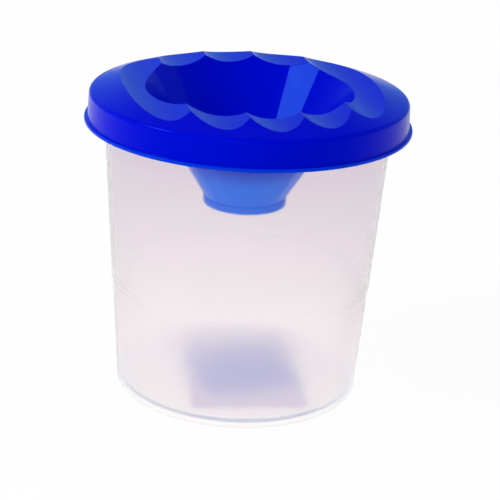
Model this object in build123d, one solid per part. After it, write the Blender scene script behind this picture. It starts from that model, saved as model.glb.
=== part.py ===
"""Brush washer: a translucent cup with a push-on lid that holds a spill-stop funnel.

Frame: millimetres, +Z up, origin at the centre of the cup's foot on the table.
The five parallel brush rests in the lid run along Y.
Heights in the lid functions are measured from the underside of the lid's flange.
"""
from build123d import *
import math
import os

os.makedirs("parts", exist_ok=True)

# ---------------------------------------------------------------- cup, mm
cup_height = 89.0             # table to the flat top of the rim
cup_foot_radius = 36.6        # outside of the wall, carried down to the table
cup_draft = 3.6               # degrees, wall against the axis
cup_wall = 1.2
floor_thickness = 1.3
foot_recess = 1.2             # floor underside above the table
foot_width = 1.9              # width of the ring that the cup stands on
foot_bevel = 0.9              # at the bottom of the wall
inner_bevel = 1.6             # between floor and wall, inside
band_height = 33.3            # foot to the line where the wall steps out
band_step = 0.25
lip_width = 2.6               # rim lip, out from the wall
lip_thickness = 1.5
lip_bevel = 0.4

# ---------------------------------------------------------------- lid, mm
lid_wall = 1.2
lid_clearance = 0.4           # skirt inside to rim lip, at the top of the skirt
skirt_height = 8.6            # flange underside to the edge of the top
skirt_draft = 2.5             # degrees
flange_width = 0.95
flange_thickness = 0.95
shoulder_bevel = 0.8          # edge between skirt and top
top_slope = 18.3              # degrees, rise of the top towards the middle
seal_width = 0.9              # ring under the top that rests on the rim
snap_height = 2.6             # flange underside to the middle of the snap bead
snap_width = 1.6
snap_clearance = 0.3          # snap bead to rim lip

# Brush rests: parallel round grooves, with sharp ridges where they meet
rest_count = 5
rest_pitch = 15.1
rest_radius = 14.8
rest_floor = 9.9              # flange underside to the bottom of a groove

# Funnel
mouth_radius = 31.8           # inside, at the height of the ridges
throat_radius = 10.6
funnel_depth = 22.6           # flange underside to the narrow end
facet_angle = 10.3            # degrees, half the width of a flat corner
facet_count = 4
collar_height = 2.2
collar_ledge = 0.35           # collar stands out from the funnel by this
collar_bevel = 0.3

# ---------------------------------------------------------------- label, mm
label_width = 35.0
label_length = 52.0
label_thickness = 0.12
label_corner = 1.0
label_offset = 2.0            # stuck on a little off centre
label_turn = -6.0             # degrees

# ---------------------------------------------------------------- worked out
spare = 1.0                   # how far a cutting solid runs past what it cuts
lip_radius = cup_foot_radius + cup_height * math.tan(math.radians(cup_draft)) + band_step + lip_width
skirt_top_radius = lip_radius + lid_clearance + lid_wall
skirt_foot_radius = skirt_top_radius + skirt_height * math.tan(math.radians(skirt_draft))
flange_radius = skirt_foot_radius + flange_width
seat_height = skirt_height - lid_wall - lid_clearance
lid_level = cup_height - seat_height
ridge_height = rest_floor + rest_radius - math.sqrt(rest_radius**2 - (rest_pitch / 2) ** 2)
funnel_half_angle = math.degrees(math.atan((mouth_radius - throat_radius) / (ridge_height + funnel_depth)))


def wall_radius(height):
    """Outside of the cup's wall at a height above the table."""
    step = band_step if height > band_height else 0.0
    return cup_foot_radius + height * math.tan(math.radians(cup_draft)) + step


def inside_radius(height):
    """Inside of the cup's wall, one plain taper from floor to rim."""
    return cup_foot_radius + height * math.tan(math.radians(cup_draft)) - cup_wall


def bevel_corner(face, radial, height, length):
    """Bevel the corner of a section that lies nearest to a point."""
    corner = face.vertices().sort_by_distance(Vector(radial, 0, height))[0]
    return chamfer(corner, length)


def section(points):
    """A closed section in the XZ plane from (radius, height) pairs."""
    outline = Polyline([(radial, 0, height) for radial, height in points], close=True)
    return make_face(outline)


def make_cup():
    """The drafted cup: foot ring, recessed floor, stepped wall and rim lip, as one turned section."""
    floor_top = foot_recess + floor_thickness
    lip_bottom = cup_height - lip_thickness
    foot_inside = cup_foot_radius - foot_width
    step_outside = wall_radius(band_height) + band_step
    points = [
        (0, floor_top),
        (0, foot_recess),
        (foot_inside, foot_recess),
        (foot_inside, 0),
        (cup_foot_radius, 0),
        (wall_radius(band_height), band_height),
        (step_outside, band_height + band_step),
        (wall_radius(lip_bottom), lip_bottom),
        (lip_radius, lip_bottom),
        (lip_radius, cup_height),
        (inside_radius(cup_height), cup_height),
        (inside_radius(floor_top), floor_top),
    ]
    profile = section(points)
    profile = bevel_corner(profile, cup_foot_radius, 0, foot_bevel)
    profile = bevel_corner(profile, inside_radius(floor_top), floor_top, inner_bevel)
    profile = bevel_corner(profile, lip_radius, cup_height, lip_bevel)
    profile = bevel_corner(profile, lip_radius, lip_bottom, lip_bevel)
    return revolve(profile, Axis.Z)


def top_height(radial):
    """Height of the lid's sloping top at a radius, before the rests are cut."""
    return skirt_height + (skirt_top_radius - radial) * math.tan(math.radians(top_slope))


def lid_block():
    """The lid's outside as one solid, from the flange's underside to the sloping top."""
    points = [
        (0, 0),
        (flange_radius, 0),
        (flange_radius, flange_thickness),
        (skirt_foot_radius, flange_thickness),
        (skirt_top_radius, skirt_height),
        (0, top_height(0)),
    ]
    profile = bevel_corner(section(points), skirt_top_radius, skirt_height, shoulder_bevel)
    return revolve(profile, Axis.Z)


def lid_cavity():
    """The space under the lid's top, with the snap bead left standing on the skirt."""
    inside_foot = skirt_foot_radius - lid_wall
    inside_top = skirt_top_radius - lid_wall
    bead_radius = lip_radius + snap_clearance
    underside = lid_wall / math.cos(math.radians(top_slope))
    points = [
        (0, -spare),
        (inside_foot, -spare),
        (inside_foot, snap_height - snap_width / 2),
        (bead_radius, snap_height),
        (inside_foot - snap_height * math.tan(math.radians(skirt_draft)), snap_height + snap_width / 2),
        (inside_top, skirt_height - underside),
        (0, top_height(0) - underside),
    ]
    return revolve(section(points), Axis.Z)


def rests(offset):
    """The parallel round bars that press the brush rests into the top."""
    bars = []
    for number in range(rest_count):
        across = (number - (rest_count - 1) / 2) * rest_pitch
        centre = Pos(across, 0, rest_floor + rest_radius)
        bars.append(centre * Rot(90, 0, 0) * Cylinder(rest_radius + offset, 2 * (flange_radius + spare)))
    return bars


def funnel_cone(offset, low, high):
    """The tapered funnel between two heights, with flat corners, grown outwards by an offset."""
    slope = math.tan(math.radians(funnel_half_angle))
    growth = offset / math.cos(math.radians(funnel_half_angle))
    low_radius = throat_radius + growth + (low + funnel_depth) * slope
    high_radius = throat_radius + growth + (high + funnel_depth) * slope
    cone = Pos(0, 0, (low + high) / 2) * Cone(low_radius, high_radius, high - low)
    flat = math.cos(math.radians(facet_angle))
    low_square = Pos(0, 0, low) * RegularPolygon(low_radius * flat, facet_count, major_radius=False)
    high_square = Pos(0, 0, high) * RegularPolygon(high_radius * flat, facet_count, major_radius=False)
    pyramid = loft([low_square, high_square], ruled=True)
    return cone & pyramid


def make_lid():
    """The lid: skirt, flange, grooved top, funnel and collar, all one moulding of even wall."""
    collar_radius = throat_radius + lid_wall / math.cos(math.radians(funnel_half_angle)) + collar_ledge
    funnel_outside = funnel_cone(lid_wall, -funnel_depth, ridge_height + lid_wall)
    funnel_inside = funnel_cone(0, -funnel_depth, ridge_height + lid_wall)
    seal_radius = (lip_radius + inside_radius(cup_height)) / 2
    seal = Pos(0, 0, seat_height + spare) * (
        Cylinder(seal_radius + seal_width / 2, 2 * spare) - Cylinder(seal_radius - seal_width / 2, 2 * spare)
    )
    collar = Pos(0, 0, -funnel_depth - collar_height / 2) * Cylinder(collar_radius, collar_height)
    collar = chamfer(collar.edges().sort_by(Axis.Z)[0], collar_bevel)
    throat = Pos(0, 0, -funnel_depth - collar_height / 2) * Cylinder(throat_radius, collar_height + 2 * spare)

    cavity = lid_cavity() - funnel_outside - rests(lid_wall) - seal
    below = funnel_cone(lid_wall, -funnel_depth, flange_thickness)
    lid = lid_block() + below + collar - rests(0) - cavity - funnel_inside - throat
    return Pos(0, 0, lid_level) * lid


def make_label():
    """A plain paper sticker on the underside of the floor, inside the foot ring."""
    outline = RectangleRounded(label_width, label_length, label_corner)
    sheet = extrude(outline, label_thickness)
    level = foot_recess - label_thickness
    return Pos(label_offset, 0, level) * Rot(0, 0, label_turn) * sheet


parts = {"cup": make_cup(), "lid": make_lid(), "base_label": make_label()}
for name, part in parts.items():
    export_step(part, f"parts/{name}.step")
    print(name, "volume", round(part.volume / 1000, 2), "cm3", "top", round(part.bounding_box().max.Z, 2))
print("lid level", round(lid_level, 2), "flange radius", round(flange_radius, 2))
print("ridge height", round(ridge_height, 2), "funnel half angle", round(funnel_half_angle, 2))
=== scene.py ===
# %% [markdown]
# # A brush washer with its lid on
# The object is a clear polypropylene cup, a blue lid pressed over its rim, and a paper label
# under the floor of the cup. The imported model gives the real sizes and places. This lesson
# remodels the three pieces finely, gives them their finishes and lights them softly.

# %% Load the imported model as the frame
import bpy
from math import asin, cos, pi, radians, sin, sqrt, tan
from mathutils import Matrix, Vector


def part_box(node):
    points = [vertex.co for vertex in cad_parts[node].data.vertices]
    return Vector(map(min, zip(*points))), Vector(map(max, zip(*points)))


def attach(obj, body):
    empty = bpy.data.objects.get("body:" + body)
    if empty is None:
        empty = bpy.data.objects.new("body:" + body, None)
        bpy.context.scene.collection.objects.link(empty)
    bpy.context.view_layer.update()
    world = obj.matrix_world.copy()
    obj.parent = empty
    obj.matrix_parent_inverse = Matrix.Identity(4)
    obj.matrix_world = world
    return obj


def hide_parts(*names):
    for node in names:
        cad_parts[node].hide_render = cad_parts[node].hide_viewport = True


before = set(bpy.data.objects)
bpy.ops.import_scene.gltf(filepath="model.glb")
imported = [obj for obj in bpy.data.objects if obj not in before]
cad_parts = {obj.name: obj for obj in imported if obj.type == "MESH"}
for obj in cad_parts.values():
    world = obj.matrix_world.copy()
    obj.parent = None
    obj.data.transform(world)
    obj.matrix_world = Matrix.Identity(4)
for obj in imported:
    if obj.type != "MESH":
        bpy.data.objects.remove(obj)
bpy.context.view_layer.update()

# %% [markdown]
# ## Units and sizes
# Every size below is in millimetres, because that is how such mouldings are drawn, and one
# function turns it into Blender's metres. What the frame can tell is read from it: the height of
# the cup, the reach of its rim lip, and the place of the lid.

# %% Sizes read from the frame, and the walls
def metres(millimetres):
    """Millimetres as metres."""
    return millimetres / 1000


def read_mm(corner):
    """A corner of a box, in millimetres."""
    return [value * 1000 for value in corner]


cup_low, cup_high = map(read_mm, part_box("cup"))
lid_low, lid_high = map(read_mm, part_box("lid"))
label_low, label_high = map(read_mm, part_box("base_label"))

cup_height = cup_high[2]
lip_radius = (cup_high[0] - cup_low[0]) / 2
flange_radius = (lid_high[0] - lid_low[0]) / 2
wall = 1.2     # the same in the cup and the lid
print("cup", cup_height, "mm high, lip radius", round(lip_radius, 2), "flange", round(flange_radius, 2))

# %% [markdown]
# ## Drawing and turning an outline
# Most of the object was cut on a lathe once, as a mould. The quickest way to such a form is its
# half outline, spun about the axis. An outline is drawn as by hand: one vertex is placed and
# extruded from point to point. Corners carry their own radius, so the arcs need no points of
# their own in the lists.

# %% Select one object and nothing else
def select_only(piece):
    """Makes one object the selected and active one."""
    bpy.ops.object.select_all(action="DESELECT")
    piece.select_set(True)
    bpy.context.view_layer.objects.active = piece


# %% Round the corners of an outline
def soften(corners, steps=10):
    """Points of a closed outline, with an arc at each corner (x, z, radius) that has a radius."""
    points = []
    for index, (x, z, radius) in enumerate(corners):
        here = Vector((x, z))
        if radius == 0:
            points.append(here)
            continue
        back = (Vector(corners[index - 1][:2]) - here).normalized()
        on = (Vector(corners[(index + 1) % len(corners)][:2]) - here).normalized()
        half = back.angle(on) / 2
        centre = here + (back + on).normalized() * radius / sin(half)
        first = here + back * radius / tan(half) - centre
        last = here + on * radius / tan(half) - centre
        for step in range(steps + 1):
            points.append(centre + first.slerp(last, step / steps) * radius)
    return points


# %% Draw an outline point by point
def close_loop(piece):
    """Joins the first and last vertex of a drawn outline with an edge."""
    count = len(piece.data.vertices)
    for vertex in piece.data.vertices:
        vertex.select = vertex.index in (0, count - 1)
    for edge in piece.data.edges:
        edge.select = False
    select_only(piece)
    bpy.ops.object.mode_set(mode="EDIT")
    bpy.ops.mesh.select_mode(type="VERT")
    bpy.ops.mesh.edge_face_add()
    bpy.ops.object.mode_set(mode="OBJECT")


def draw_outline(name, points):
    """A new object with one closed loop of edges in the XZ plane, drawn point by point."""
    bpy.ops.object.select_all(action="DESELECT")
    bpy.ops.mesh.primitive_plane_add(size=metres(1))
    piece = bpy.context.object
    piece.name = name
    start = Vector((metres(points[0].x), 0, metres(points[0].y)))
    bpy.ops.object.mode_set(mode="EDIT")
    bpy.ops.mesh.merge(type="CENTER")
    bpy.ops.transform.translate(value=start)
    for one, two in zip(points, points[1:]):
        step = Vector((metres(two.x - one.x), 0, metres(two.y - one.y)))
        bpy.ops.mesh.extrude_region_move(TRANSFORM_OT_translate={"value": step})
    bpy.ops.object.mode_set(mode="OBJECT")
    close_loop(piece)
    return piece


# %% [markdown]
# ### From an outline to a solid
# Spin carries the outline once round the axis in small steps and leaves a face between each two
# steps. Where the outline starts and ends on the axis, its points fall together at a pole, so
# near points are merged, faces without area are dissolved, and the normals are made to point out.

# %% Turn an outline about the axis
turn_steps = 256
one_step = 2 * pi / turn_steps
same_point = 0.001     # two points nearer than this are one


def close_mesh(piece):
    """Merges doubles and makes the faces of a closed mesh point outwards."""
    select_only(piece)
    bpy.ops.object.mode_set(mode="EDIT")
    bpy.ops.mesh.select_all(action="SELECT")
    bpy.ops.mesh.remove_doubles(threshold=metres(same_point))
    bpy.ops.mesh.delete_loose()
    bpy.ops.mesh.select_all(action="SELECT")
    bpy.ops.mesh.normals_make_consistent(inside=False)
    bpy.ops.object.mode_set(mode="OBJECT")


def turned(name, corners, start=0.0):
    """A closed solid turned from corners (radius, height, rounding), begun at a part of a step."""
    piece = draw_outline(name, soften(corners))
    select_only(piece)
    bpy.ops.object.mode_set(mode="EDIT")
    bpy.ops.mesh.select_all(action="SELECT")
    bpy.ops.mesh.spin(steps=turn_steps, angle=radians(360), center=(0, 0, 0), axis=(0, 0, 1))
    bpy.ops.mesh.select_all(action="SELECT")
    bpy.ops.mesh.dissolve_degenerate(threshold=metres(same_point))
    bpy.ops.object.mode_set(mode="OBJECT")
    piece.data.transform(Matrix.Rotation(start * one_step, 4, "Z"))
    close_mesh(piece)
    print(name, len(piece.data.vertices), "vertices")
    return piece


# %% [markdown]
# ## The cup
# The cup is one moulding with a wall of even thickness. It stands on a narrow foot ring, its
# floor is raised a little so that a label fits under it, and the wall leans outwards so that
# it leaves its mould. A third of the way up the wall steps out by a hair, which shows as a thin
# ring, and a lip round the rim holds the lid.

# %% Cup
cup_draft = 3.6        # degrees
foot_radius = 36.6
foot_width = 1.9
foot_recess = 1.2
floor_thickness = 1.3
band_height = 33.3
band_step = 0.25
lip_thickness = 1.5
small_rounding = 0.3
foot_rounding = 0.9
lip_rounding = 0.4
floor_rounding = 1.4   # between floor and wall, inside


def cup_wall(height):
    """Outside of the cup's wall at a height."""
    step = band_step if height > band_height else 0
    return foot_radius + height * tan(radians(cup_draft)) + step


floor_top = foot_recess + floor_thickness
lip_bottom = cup_height - lip_thickness
inside_rim = cup_wall(cup_height) - band_step - wall
cup = turned("cup_moulding", [
    (0, floor_top, 0),
    (0, foot_recess, 0),
    (foot_radius - foot_width, foot_recess, small_rounding),
    (foot_radius - foot_width, 0, small_rounding),
    (foot_radius, 0, foot_rounding),
    (cup_wall(band_height), band_height, 0),
    (cup_wall(band_height) + band_step, band_height + band_step, 0),
    (cup_wall(lip_bottom), lip_bottom, small_rounding),
    (lip_radius, lip_bottom, lip_rounding),
    (lip_radius, cup_height, lip_rounding),
    (inside_rim, cup_height, lip_rounding),
    (cup_wall(floor_top) - wall, floor_top, floor_rounding),
])

# %% [markdown]
# ## The lid
# The lid is one thin moulding too, but it isn't only turned: five round brush rests run side by
# side across its top, and a funnel with four flat corners drops from the middle. As in the
# mould, each surface comes from a simple body, and booleans take one from another. To keep the
# wall even, the space below the lid is the same form again, grown by the wall. A boolean does
# badly where edges of two bodies lie on each other, so each body begins at its own part of a
# step round the axis.

# %% Lid sizes
lid_clearance = 0.4
skirt_height = 8.6
skirt_draft = 2.5      # degrees
flange_thickness = 0.95
top_slope = 18.3       # degrees
seal_width = 0.9
snap_height = 2.6
snap_width = 1.6
snap_clearance = 0.3
rest_count = 5
rest_pitch = 15.1
rest_radius = 14.8
rest_floor = 9.9
mouth_radius = 31.8
throat_radius = 10.6
collar_height = 2.2
collar_ledge = 0.35
facet_angle = 11.5     # degrees, half the width of a flat corner
flat_corners = (45, 135, 225, 315)   # degrees round the axis
spare = 1.0            # how far a cutting body runs past what it cuts

lid_level = cup_height - (skirt_height - wall - lid_clearance)
funnel_depth = lid_level - lid_low[2] - collar_height
skirt_top = lip_radius + lid_clearance + wall
skirt_foot = skirt_top + skirt_height * tan(radians(skirt_draft))
ridge_height = rest_floor + rest_radius - sqrt(rest_radius**2 - (rest_pitch / 2) ** 2)
funnel_slope = (mouth_radius - throat_radius) / (ridge_height + funnel_depth)
print("lid level", round(lid_level, 2), "funnel depth", round(funnel_depth, 2))

# %% Combine two solids
def combine(piece, other, operation):
    """Applies a boolean with another object, which is used up."""
    select_only(piece)
    modifier = piece.modifiers.new("combine", "BOOLEAN")
    modifier.operation = operation
    modifier.solver = "EXACT"
    modifier.object = other
    bpy.ops.object.modifier_apply(modifier=modifier.name)
    bpy.data.objects.remove(other)
    close_mesh(piece)
    print(piece.name, operation.lower(), len(piece.data.polygons), "faces")


# %% A plain disc
def disc(name, radius, low, high, start):
    """A plain round solid between two heights, begun at a part of a step."""
    bpy.ops.object.select_all(action="DESELECT")
    bpy.ops.mesh.primitive_cylinder_add(
        vertices=turn_steps, radius=metres(radius), depth=metres(high - low),
        location=(0, 0, metres((low + high) / 2)), rotation=(0, 0, one_step * start))
    bpy.context.object.name = name
    bpy.ops.object.transform_apply(location=True, rotation=True, scale=False)
    return bpy.context.object


# %% [markdown]
# ### The brush rests
# A rest is a round groove, and five of them side by side leave sharp ridges between them. One
# block with a scalloped underside cuts all five at once: its outline is drawn arc by arc and
# extruded along the rests. The strips of an arc are kept wider beside a ridge, so that the ridge
# has room for its rounding, and no edge of a strip runs along the funnel's mouth.

# %% The block that shapes the brush rests
inner_strips = 49      # of a rest's arc
outer_strips = 23
ridge_turn = radians(2.4)      # the strip beside a ridge
side_turn = radians(80)        # how far the outermost arcs go round on their open side


def top_height(radius):
    """Height of the sloping top at a radius, before the rests are cut."""
    return lid_level + skirt_height + (skirt_top - radius) * tan(radians(top_slope))


def rest_bars(name, radius):
    """The round bars that shape the brush rests, as one long scalloped block."""
    half = asin(rest_pitch / 2 / radius)
    centre_height = lid_level + rest_floor + rest_radius
    points = []
    for number in range(rest_count):
        centre = (number - (rest_count - 1) / 2) * rest_pitch
        first = -side_turn if number == 0 else -half
        last = side_turn if number == rest_count - 1 else half
        strips = outer_strips if number in (0, rest_count - 1) else inner_strips
        strip = (last - first - 2 * ridge_turn) / strips
        turns = [first] + [first + ridge_turn + strip * step for step in range(strips + 1)] + [last]
        for turn in turns:
            points.append(Vector((centre + radius * sin(turn), centre_height - radius * cos(turn))))
    following = points[1:] + points[:1]
    kept = [one for one, two in zip(points, following) if (one - two).length > same_point]
    above = top_height(0) + spare
    kept += [Vector((kept[-1].x, above)), Vector((kept[0].x, above))]
    bars = draw_outline(name, kept)
    select_only(bars)
    bpy.ops.object.mode_set(mode="EDIT")
    bpy.ops.mesh.select_all(action="SELECT")
    bpy.ops.mesh.edge_face_add()
    reach = flange_radius + spare
    bpy.ops.transform.translate(value=(0, metres(-reach), 0))
    bpy.ops.mesh.extrude_region_move(TRANSFORM_OT_translate={"value": (0, metres(2 * reach), 0)})
    bpy.ops.object.mode_set(mode="OBJECT")
    close_mesh(bars)
    return bars


# %% The body that shapes the funnel
def funnel_body(name, offset, low, high):
    """The funnel as a solid cone with four flat corners, grown outwards by an offset."""
    growth = offset * sqrt(1 + funnel_slope**2)
    low_radius = throat_radius + growth + (low + funnel_depth) * funnel_slope
    high_radius = throat_radius + growth + (high + funnel_depth) * funnel_slope
    flat_distance = metres(low_radius * cos(radians(facet_angle)))
    bpy.ops.object.select_all(action="DESELECT")
    bpy.ops.mesh.primitive_circle_add(
        vertices=turn_steps, radius=metres(low_radius), fill_type="NGON",
        location=(0, 0, metres(lid_level + low)), rotation=(0, 0, one_step / 2))
    piece = bpy.context.object
    piece.name = name
    bpy.ops.object.transform_apply(location=True, rotation=True, scale=False)
    bpy.ops.object.mode_set(mode="EDIT")
    for corner in flat_corners:
        out = Vector((cos(radians(corner)), sin(radians(corner)), 0))
        bpy.ops.mesh.select_all(action="SELECT")
        bpy.ops.mesh.bisect(plane_co=out * flat_distance, plane_no=out, clear_outer=True)
    bpy.ops.mesh.select_all(action="SELECT")
    bpy.ops.mesh.extrude_region_move(TRANSFORM_OT_translate={"value": (0, 0, metres(high - low))})
    spread = high_radius / low_radius
    bpy.ops.transform.resize(value=(spread, spread, 1),
                             center_override=(0, 0, metres(lid_level + high)))
    bpy.ops.object.mode_set(mode="OBJECT")
    close_mesh(piece)
    return piece


# %% [markdown]
# ### The lid's body
# The body is turned solid at first: flange, skirt, rounded shoulder and sloping top. The space
# under it is turned too, with the snap bead left standing on the skirt, and then loses the rests'
# block, grown by the wall, and the ring that seals the rim. What is left is cut from the body.

# %% Lid body
shoulder_rounding = 1.3
flange_rounding = 0.35
flange_underside_rounding = 0.25
lid = turned("lid_moulding", [
    (0, lid_level, 0),
    (flange_radius, lid_level, flange_underside_rounding),
    (flange_radius, lid_level + flange_thickness, flange_rounding),
    (skirt_foot, lid_level + flange_thickness, small_rounding),
    (skirt_top, lid_level + skirt_height, shoulder_rounding),
    (0, top_height(0), 0),
])

# %% The space under the lid
top_wall = wall / cos(radians(top_slope))
space_rounding = 0.6
seal_rounding = 0.2
bead_foot = skirt_foot - wall - snap_height * tan(radians(skirt_draft))
space = turned("lid_space", [
    (0, lid_level - spare, 0),
    (skirt_foot - wall, lid_level - spare, 0),
    (skirt_foot - wall, lid_level + snap_height - snap_width / 2, 0),
    (lip_radius + snap_clearance, lid_level + snap_height, small_rounding),
    (bead_foot, lid_level + snap_height + snap_width / 2, 0),
    (skirt_top - wall, lid_level + skirt_height - top_wall, space_rounding),
    (0, top_height(0) - top_wall, 0),
], start=0.3)
seal_middle = (lip_radius + inside_rim) / 2
seal = turned("seal_ring", [
    (seal_middle - seal_width / 2, cup_height, seal_rounding),
    (seal_middle + seal_width / 2, cup_height, seal_rounding),
    (seal_middle + seal_width / 2, cup_height + 2 * spare, 0),
    (seal_middle - seal_width / 2, cup_height + 2 * spare, 0),
], start=0.65)
combine(space, rest_bars("rest_bars_below", rest_radius + wall), "DIFFERENCE")
combine(space, seal, "DIFFERENCE")
combine(lid, space, "DIFFERENCE")

# %% [markdown]
# ### The funnel
# The funnel and its collar are added as solid bodies. Then everything that is open goes in three
# cuts: the rests from above, the funnel's inside, and the throat through the collar. The bodies
# overlap a little where they meet, so that no two faces lie in one plane.

# %% Funnel and collar, then the three cuts
overlap = 0.5
collar_rounding = 0.4
collar_top_rounding = 0.15
funnel_low = -funnel_depth - overlap
collar_radius = throat_radius + wall * sqrt(1 + funnel_slope**2) + collar_ledge
collar_top = lid_level - funnel_depth
collar = turned("collar", [
    (0, collar_top - collar_height, 0),
    (collar_radius, collar_top - collar_height, collar_rounding),
    (collar_radius, collar_top, collar_top_rounding),
    (0, collar_top, 0),
], start=0.2)
combine(lid, funnel_body("funnel_outside", wall, funnel_low, ridge_height + wall), "UNION")
combine(lid, collar, "UNION")
combine(lid, rest_bars("rest_bars_above", rest_radius), "DIFFERENCE")
combine(lid, funnel_body("funnel_inside", 0, funnel_low, ridge_height + 2 * spare), "DIFFERENCE")
combine(lid, disc("throat", throat_radius, lid_low[2] - spare, collar_top + overlap, start=0.8),
        "DIFFERENCE")

# %% [markdown]
# ### Small radii on the edges
# No moulded edge is quite sharp, and the thin line of light on a rounded edge is what makes
# plastic look like plastic. A bevel rounds all edges at once. Where two cuts met, they left a
# few very short edges on the top, and those would fold over, so their ends are merged first.
# Which of two points stays depends on their order, and that differs from run to run, so the
# points are first sorted by how far they are from one place off to the side.

# %% Merge the ends of the shortest edges on the lid's top
shortest_edge = 0.25
sort_from = (0.3, 0.17, 0.2)    # metres
select_only(lid)
bpy.context.scene.cursor.location = sort_from
bpy.ops.object.mode_set(mode="EDIT")
bpy.ops.mesh.select_mode(type="VERT")
bpy.ops.mesh.select_all(action="SELECT")
bpy.ops.mesh.sort_elements(type="CURSOR_DISTANCE", elements={"VERT"})
bpy.ops.mesh.select_all(action="DESELECT")
bpy.ops.object.mode_set(mode="OBJECT")
bpy.context.scene.cursor.location = (0, 0, 0)
for vertex in lid.data.vertices:
    vertex.select = vertex.co.z > metres(lid_level + skirt_height + shortest_edge)
bpy.ops.object.mode_set(mode="EDIT")
bpy.ops.mesh.remove_doubles(threshold=metres(shortest_edge))
bpy.ops.object.mode_set(mode="OBJECT")
print("lid", len(lid.data.vertices), "vertices before rounding")

# %% Round every sharp edge of the lid
edge_width = 0.3       # across the rounded edge
sharp_from = 12.0      # degrees between two faces
rounding = lid.modifiers.new("rounding", "BEVEL")
rounding.offset_type = "WIDTH"
rounding.width = metres(edge_width)
rounding.segments = 3
rounding.limit_method = "ANGLE"
rounding.angle_limit = radians(sharp_from)
rounding.use_clamp_overlap = False
rounding.loop_slide = False
rounding.miter_outer = "MITER_ARC"
bpy.ops.object.modifier_apply(modifier=rounding.name)
close_mesh(lid)
print("lid", len(lid.data.polygons), "faces")

# %% [markdown]
# ## The label under the cup
# A thin paper label is stuck under the raised floor, a little off centre and a little turned. It
# starts as a plane, gets its corners rounded and is then given the thickness of paper.

# %% Label
label_width = 35.0
label_length = 52.0
label_rounding = 1.0
label_offset = 2.0
label_turn = -6.0      # degrees
label_thickness = label_high[2] - label_low[2]
corner_reach = 0.45    # of the width or length from the middle; only the corners lie further out

bpy.ops.object.select_all(action="DESELECT")
bpy.ops.mesh.primitive_grid_add(x_subdivisions=2, y_subdivisions=3, size=metres(1))
label = bpy.context.object
label.name = "paper_label"
bpy.ops.object.mode_set(mode="EDIT")
bpy.ops.transform.resize(value=(label_width, label_length, 1))
bpy.ops.mesh.select_all(action="DESELECT")
bpy.ops.mesh.select_mode(type="VERT")
bpy.ops.object.mode_set(mode="OBJECT")
for vertex in label.data.vertices:
    far_across = abs(vertex.co.x) > metres(label_width * corner_reach)
    far_along = abs(vertex.co.y) > metres(label_length * corner_reach)
    vertex.select = far_across and far_along
bpy.ops.object.mode_set(mode="EDIT")
bpy.ops.mesh.bevel(offset=metres(label_rounding), segments=6, affect="VERTICES")
bpy.ops.mesh.select_all(action="SELECT")
bpy.ops.mesh.extrude_region_move(TRANSFORM_OT_translate={"value": (0, 0, metres(label_thickness))})
bpy.ops.object.mode_set(mode="OBJECT")
label.data.transform(Matrix.Translation((metres(label_offset), 0, metres(label_low[2])))
                     @ Matrix.Rotation(radians(label_turn), 4, "Z"))
close_mesh(label)
print("label", len(label.data.polygons), "faces")

# %% [markdown]
# ## Into the frame
# Each piece rides on the body that moves it and takes the place of the plain solid of the packed
# model. Smooth shading hides the small facets of the turned faces, and weighted normals keep
# broad faces calm beside the narrow rounded edges.

# %% Pieces take their places in the frame
smooth_below = 25.0    # degrees between two faces
normal_weight = 50     # plain weighting by area
for piece, body, node, slot in ((cup, "cup", "cup", "cup"), (lid, "lid", "lid", "lid"),
                                (label, "cup", "base_label", "label")):
    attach(piece, body)
    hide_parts(node)
    select_only(piece)
    bpy.ops.object.shade_smooth_by_angle(angle=radians(smooth_below), keep_sharp_edges=True)
    weighted = piece.modifiers.new("weighted", "WEIGHTED_NORMAL")
    weighted.weight = normal_weight
    weighted.keep_sharp = True
    bpy.ops.object.modifier_apply(modifier=weighted.name)
    print(piece.name, "rides on", body, "and replaces", node)

# %% [markdown]
# ## Finishes
# Colours are written as sRGB hex values and turned to linear light by one function, and one
# helper adds a node with its settings and links.

# %% Material helpers
def linear(hex_colour):
    """A linear colour from an sRGB hex value such as #1133AA."""
    parts = [int(hex_colour[start:start + 2], 16) / 255 for start in (1, 3, 5)]
    curve = [part / 12.92 if part <= 0.04045 else ((part + 0.055) / 1.055) ** 2.4 for part in parts]
    return curve + [1]


def add_node(material, kind, settings=None, values=None, links=None):
    """Adds a shader node, sets its properties and sockets, and links sockets to it."""
    tree = material.node_tree
    node = tree.nodes.new(kind)
    for name, value in (settings or {}).items():
        setattr(node, name, value)
    for name, value in (values or {}).items():
        node.inputs[name].default_value = value
    for name, source in (links or {}).items():
        tree.links.new(source, node.inputs[name])
    return node


def new_material(name):
    """An empty node material."""
    material = bpy.data.materials.new(name)
    material.use_nodes = True
    material.node_tree.nodes.clear()
    return material


def give(piece, material):
    """Puts one material on a whole piece."""
    piece.data.materials.clear()
    piece.data.materials.append(material)
    print(piece.name, "is", material.name, "with", len(material.node_tree.nodes), "nodes")


# %% [markdown]
# ### The blue of the lid
# Polypropylene coloured in the mass is deep and even, and the polished mould leaves it half
# glossy. Its skin is never quite flat, so a slow noise moves the roughness a little and lifts
# the surface by a few thousandths of a millimetre, which breaks up the reflections. The lower
# part of the funnel and the thin edge of the flange get a paler blue painted into their colour:
# a painted glow low on the funnel, for the light its thin wall lets through, and a painted
# highlight along the flange's edge.

# %% The skin that the mould leaves: slow dents and a slow change of gloss
skin_size = 9.0        # from one slow dent of the skin to the next
skin_depth = 0.02
lid_blue = new_material("blue_polypropylene_moulded")
place = add_node(lid_blue, "ShaderNodeTexCoord").outputs["Object"]
skin = add_node(lid_blue, "ShaderNodeTexNoise", values={"Scale": 1 / metres(skin_size), "Detail": 1.0},
                links={"Vector": place})
rough = add_node(lid_blue, "ShaderNodeMapRange", values={"To Min": 0.17, "To Max": 0.25},
                 links={"Value": skin.outputs["Fac"]})
dents = add_node(lid_blue, "ShaderNodeBump", values={"Strength": 1.0, "Distance": metres(skin_depth)},
                 links={"Height": skin.outputs["Fac"]})
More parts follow.
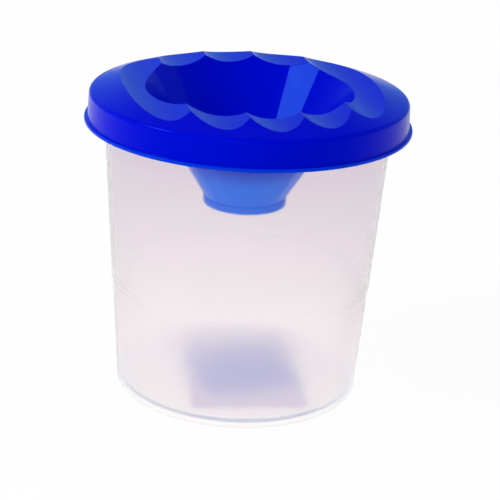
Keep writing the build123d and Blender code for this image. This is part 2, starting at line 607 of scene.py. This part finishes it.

# %% Painted light: a paler blue painted as a glow low on the funnel and as a highlight at the flange's edge
glow_depth = 15.0      # below the flange, where the paler blue is reached
rim_width = 0.8        # the flange's edge begins to turn paler here
rim_share = 0.16       # of the paler blue, at the very edge
height = add_node(lid_blue, "ShaderNodeSeparateXYZ", links={"Vector": place}).outputs["Z"]
flat = add_node(lid_blue, "ShaderNodeVectorMath", {"operation": "MULTIPLY"}, values={1: (1, 1, 0)},
                links={0: place})
radius = add_node(lid_blue, "ShaderNodeVectorMath", {"operation": "LENGTH"}, links={0: flat.outputs[0]})
# Painted highlight: the flange's edge turns paler towards the very edge.
rim = add_node(lid_blue, "ShaderNodeMapRange",
               values={"From Min": metres(flange_radius - rim_width),
                       "From Max": metres(flange_radius), "To Max": rim_share},
               links={"Value": radius.outputs["Value"]})
# Painted glow: the funnel turns paler below the flange, fully paler at the glow depth.
depth = add_node(lid_blue, "ShaderNodeMapRange",
                 values={"From Min": metres(lid_level - glow_depth / 2),
                         "From Max": metres(lid_level - glow_depth)},
                 links={"Value": height})
# Painted light: the larger of the two masks says where the paler blue is painted.
painted_glow_mask = add_node(lid_blue, "ShaderNodeMath", {"operation": "MAXIMUM"},
                links={0: depth.outputs["Result"], 1: rim.outputs["Result"]})

# %% Blue polypropylene, moulded, half gloss
deep_blue = "#0006C2"
painted_glow_blue = "#107CFF"
shine_blue = "#0090FF"
# Painted glow and painted highlight: the deep blue turns to the painted paler blue along the mask.
colour = add_node(lid_blue, "ShaderNodeMix", {"data_type": "RGBA"}, links={0: painted_glow_mask.outputs[0]})
colour.inputs[6].default_value = linear(deep_blue)
colour.inputs[7].default_value = linear(painted_glow_blue)
shader = add_node(lid_blue, "ShaderNodeBsdfPrincipled",
                  values={"IOR": 1.49, "Specular IOR Level": 0.08,
                          "Specular Tint": linear(shine_blue)},
                  links={"Base Color": colour.outputs[2], "Roughness": rough.outputs["Result"],
                         "Normal": dents.outputs["Normal"]})
add_node(lid_blue, "ShaderNodeOutputMaterial", links={"Surface": shader.outputs["BSDF"]})
give(lid, lid_blue)

# %% [markdown]
# ### The clear wall of the cup
# Polypropylene without colour is never as clear as glass: its crystals scatter light, so things
# behind the wall look soft, the more so the further they stand behind it. A rough transmission
# does just that. The wall is a little matter below its ring than above it. Shadow rays and
# diffuse rays pass straight through instead, or the inside of the cup would be far too dark.

# %% How soft the wall makes what stands behind it
cloud_size = 18.0      # patches where the wall is a little hazier
haze_share = 0.02      # of roughness, more or less
below_band = 0.44      # roughness
above_band = 0.13
band_fade = 4.0        # to each side of the ring
cup_clear = new_material("clear_polypropylene_moulded")
place = add_node(cup_clear, "ShaderNodeTexCoord").outputs["Object"]
cloud = add_node(cup_clear, "ShaderNodeTexNoise",
                 values={"Scale": 1 / metres(cloud_size), "Detail": 4.0}, links={"Vector": place})
haze = add_node(cup_clear, "ShaderNodeMapRange", values={"To Min": -haze_share, "To Max": haze_share},
                links={"Value": cloud.outputs["Fac"]})
height = add_node(cup_clear, "ShaderNodeSeparateXYZ", links={"Vector": place}).outputs["Z"]
zone = add_node(cup_clear, "ShaderNodeMapRange",
                values={"From Min": metres(band_height - band_fade),
                        "From Max": metres(band_height + band_fade),
                        "To Min": below_band, "To Max": above_band},
                links={"Value": height})
rough = add_node(cup_clear, "ShaderNodeMath", {"operation": "ADD"},
                 links={0: zone.outputs["Result"], 1: haze.outputs["Result"]})

# %% Clear polypropylene, moulded thin, with shade painted into its tint towards the rim
foot_tone = "#FFFBFA"
rim_painted_shade = "#E9E2E9"
# Painted shade: the tint darkens from the foot up to the rim, where the lid shades the upper wall.
up = add_node(cup_clear, "ShaderNodeMapRange", values={"From Min": 0, "From Max": metres(cup_height)},
              links={"Value": height})
painted_shade_tint = add_node(cup_clear, "ShaderNodeMix", {"data_type": "RGBA"}, links={0: up.outputs["Result"]})
painted_shade_tint.inputs[6].default_value = linear(foot_tone)
painted_shade_tint.inputs[7].default_value = linear(rim_painted_shade)
shader = add_node(cup_clear, "ShaderNodeBsdfPrincipled",
                  values={"IOR": 1.15, "Transmission Weight": 0.97},
                  links={"Base Color": painted_shade_tint.outputs[2], "Roughness": rough.outputs[0]})

# %% A way for the light into the cup
see_through = add_node(cup_clear, "ShaderNodeBsdfTransparent", values={"Color": linear("#FCF9FB")})
rays = add_node(cup_clear, "ShaderNodeLightPath")
lamp_rays = add_node(cup_clear, "ShaderNodeMath", {"operation": "MAXIMUM"},
                     links={0: rays.outputs["Is Shadow Ray"], 1: rays.outputs["Is Diffuse Ray"]})
mix = add_node(cup_clear, "ShaderNodeMixShader",
               links={"Fac": lamp_rays.outputs[0], 1: shader.outputs["BSDF"],
                      2: see_through.outputs["BSDF"]})
add_node(cup_clear, "ShaderNodeOutputMaterial", links={"Surface": mix.outputs["Shader"]})
give(cup, cup_clear)

# %% [markdown]
# ### The paper of the label
# Thin coated paper, with a plain printed block that leaves a margin all round. The block is a
# box of distance from the middle of the label, with edges as soft as the ink's spread.

# %% The printed block
block_width = 31.0
block_length = 30.0
block_turn = 8.0       # degrees
label_paper = new_material("printed_paper")
place = add_node(label_paper, "ShaderNodeTexCoord").outputs["Object"]
middle = add_node(label_paper, "ShaderNodeMapping", {"vector_type": "TEXTURE"},
                  values={"Location": (metres(label_offset), 0, 0),
                          "Rotation": (0, 0, radians(block_turn)),
                          "Scale": (metres(block_width) / 2, metres(block_length) / 2, 1)},
                  links={"Vector": place})
across = add_node(label_paper, "ShaderNodeSeparateXYZ", links={"Vector": middle.outputs["Vector"]})
off_x = add_node(label_paper, "ShaderNodeMath", {"operation": "ABSOLUTE"},
                 links={0: across.outputs["X"]})
off_y = add_node(label_paper, "ShaderNodeMath", {"operation": "ABSOLUTE"},
                 links={0: across.outputs["Y"]})
reach = add_node(label_paper, "ShaderNodeMath", {"operation": "MAXIMUM"},
                 links={0: off_x.outputs[0], 1: off_y.outputs[0]})
ink = add_node(label_paper, "ShaderNodeMapRange", values={"From Min": 0.94, "From Max": 1.0},
               links={"Value": reach.outputs[0]})

# %% Printed paper
block_colour = "#CEDCFC"
paper_colour = "#F4FAFF"
colour = add_node(label_paper, "ShaderNodeMix", {"data_type": "RGBA"},
                  links={0: ink.outputs["Result"]})
colour.inputs[6].default_value = linear(block_colour)
colour.inputs[7].default_value = linear(paper_colour)
shader = add_node(label_paper, "ShaderNodeBsdfPrincipled", values={"Roughness": 0.6},
                  links={"Base Color": colour.outputs[2]})
add_node(label_paper, "ShaderNodeOutputMaterial", links={"Surface": shader.outputs["BSDF"]})
give(label, label_paper)

# %% [markdown]
# ## Studio
# A wide sheet of white paper lies under the cup. To rays from the camera, and to rays that a
# gloss or a clear wall sends on, the paper also glows, so that it shows as white and still keeps
# a soft shadow.

# %% Floor
floor_glow = 0.94
floor_radius = 4.0     # metres
bpy.ops.object.select_all(action="DESELECT")
bpy.ops.mesh.primitive_circle_add(vertices=96, radius=floor_radius, fill_type="NGON")
floor = bpy.context.object
floor.name = "studio_floor"
paper = new_material("studio_paper")
rays = add_node(paper, "ShaderNodeLightPath")
seen = add_node(paper, "ShaderNodeMath", {"operation": "MAXIMUM"},
                links={0: rays.outputs["Is Camera Ray"], 1: rays.outputs["Is Glossy Ray"]})
seen = add_node(paper, "ShaderNodeMath", {"operation": "MAXIMUM"},
                links={0: seen.outputs[0], 1: rays.outputs["Is Transmission Ray"]})
share = add_node(paper, "ShaderNodeMath", {"operation": "MULTIPLY"}, values={1: floor_glow},
                 links={0: seen.outputs[0]})
matte = add_node(paper, "ShaderNodeBsdfDiffuse", values={"Color": linear("#F4F4F4")})
glow = add_node(paper, "ShaderNodeEmission", values={"Color": (1, 1, 1, 1), "Strength": 1.0})
mix = add_node(paper, "ShaderNodeMixShader",
               links={"Fac": share.outputs[0], 1: matte.outputs["BSDF"], 2: glow.outputs["Emission"]})
add_node(paper, "ShaderNodeOutputMaterial", links={"Surface": mix.outputs["Shader"]})
give(floor, paper)

# %% [markdown]
# ### The room
# The world is an even white light all round. Only reflections see it otherwise: as in a room
# with a low bright wall and a dim ceiling, which gives the gloss its contrast.

# %% World
wall_end = 25.0        # degrees above the floor, where the bright wall begins to fade
ceiling_start = 43.0
wall_strength = 0.86
ceiling_strength = 0.03
world = bpy.data.worlds.new("soft_studio")
bpy.context.scene.world = world
world.use_nodes = True
world.node_tree.nodes.clear()
way = add_node(world, "ShaderNodeTexCoord").outputs["Generated"]
rise = add_node(world, "ShaderNodeSeparateXYZ", links={"Vector": way}).outputs["Z"]
wall_light = add_node(world, "ShaderNodeMapRange",
                      values={"From Min": sin(radians(wall_end)),
                              "From Max": sin(radians(ceiling_start)),
                              "To Min": wall_strength, "To Max": ceiling_strength},
                      links={"Value": rise})
even = add_node(world, "ShaderNodeBackground", values={"Color": (1, 1, 1, 1), "Strength": 0.72})
backdrop = add_node(world, "ShaderNodeBackground", values={"Color": (1, 1, 1, 1), "Strength": 1.0})
mirrored = add_node(world, "ShaderNodeBackground", values={"Color": linear("#84C6FF")},
                    links={"Strength": wall_light.outputs["Result"]})
rays = add_node(world, "ShaderNodeLightPath")
direct = add_node(world, "ShaderNodeMath", {"operation": "MAXIMUM"},
                  links={0: rays.outputs["Is Camera Ray"], 1: rays.outputs["Is Transmission Ray"]})
plain = add_node(world, "ShaderNodeMixShader",
                 links={"Fac": direct.outputs[0], 1: even.outputs[0], 2: backdrop.outputs[0]})
full = add_node(world, "ShaderNodeMixShader",
                links={"Fac": rays.outputs["Is Glossy Ray"], 1: plain.outputs[0],
                       2: mirrored.outputs[0]})
add_node(world, "ShaderNodeOutputWorld", links={"Surface": full.outputs[0]})
print(world.name, "with", len(world.node_tree.nodes), "nodes")


# %% [markdown]
# ### The lamps
# A small lamp high on the left gives the shoulder its line of light and the object its shadow.
# A larger, weaker one low in front opens up the darkest side.

# %% Lamps
def soft_box(name, place, aim, width, height, power):
    """A rectangular lamp at a place, pointing at another."""
    lamp = bpy.data.lights.new(name, "AREA")
    lamp.shape = "RECTANGLE"
    lamp.size = width
    lamp.size_y = height
    lamp.energy = power
    holder = bpy.data.objects.new(name, lamp)
    bpy.context.scene.collection.objects.link(holder)
    holder.location = place
    holder.rotation_euler = (Vector(aim) - Vector(place)).to_track_quat("-Z", "Y").to_euler()
    print(name, power, "W at", place)


soft_box("left_light", (-0.86, -0.09, 0.74), (0, 0, 0.09), 0.2, 0.2, 5.5)
soft_box("front_light", (-0.5, -0.9, 0.35), (0, 0, 0.05), 0.6, 0.6, 1.6)

# %% [markdown]
# ### The camera
# A long lens half a metre away looks down a little, so that the rests and the mouth of the
# funnel show and the sides of the cup stay nearly upright.

# %% Camera
camera_place = (-0.1002, -0.4491, 0.2185)
camera_pan = 12.88     # degrees, turned right of +Y
camera_tilt = -21.02
camera_roll = 3.02
focal_length = 117.6
sensor_width = 36
lens = bpy.data.cameras.new("camera")
lens.lens = focal_length
lens.sensor_width = sensor_width
camera = bpy.data.objects.new("camera", lens)
bpy.context.scene.collection.objects.link(camera)
camera.matrix_world = (Matrix.Translation(camera_place)
                       @ Matrix.Rotation(radians(-camera_pan), 4, "Z")
                       @ Matrix.Rotation(radians(90 + camera_tilt), 4, "X")
                       @ Matrix.Rotation(radians(camera_roll), 4, "Z"))
bpy.context.scene.camera = camera
bpy.context.scene.view_settings.view_transform = "Standard"
print("camera at", camera_place, "with a lens of", focal_length, "mm")
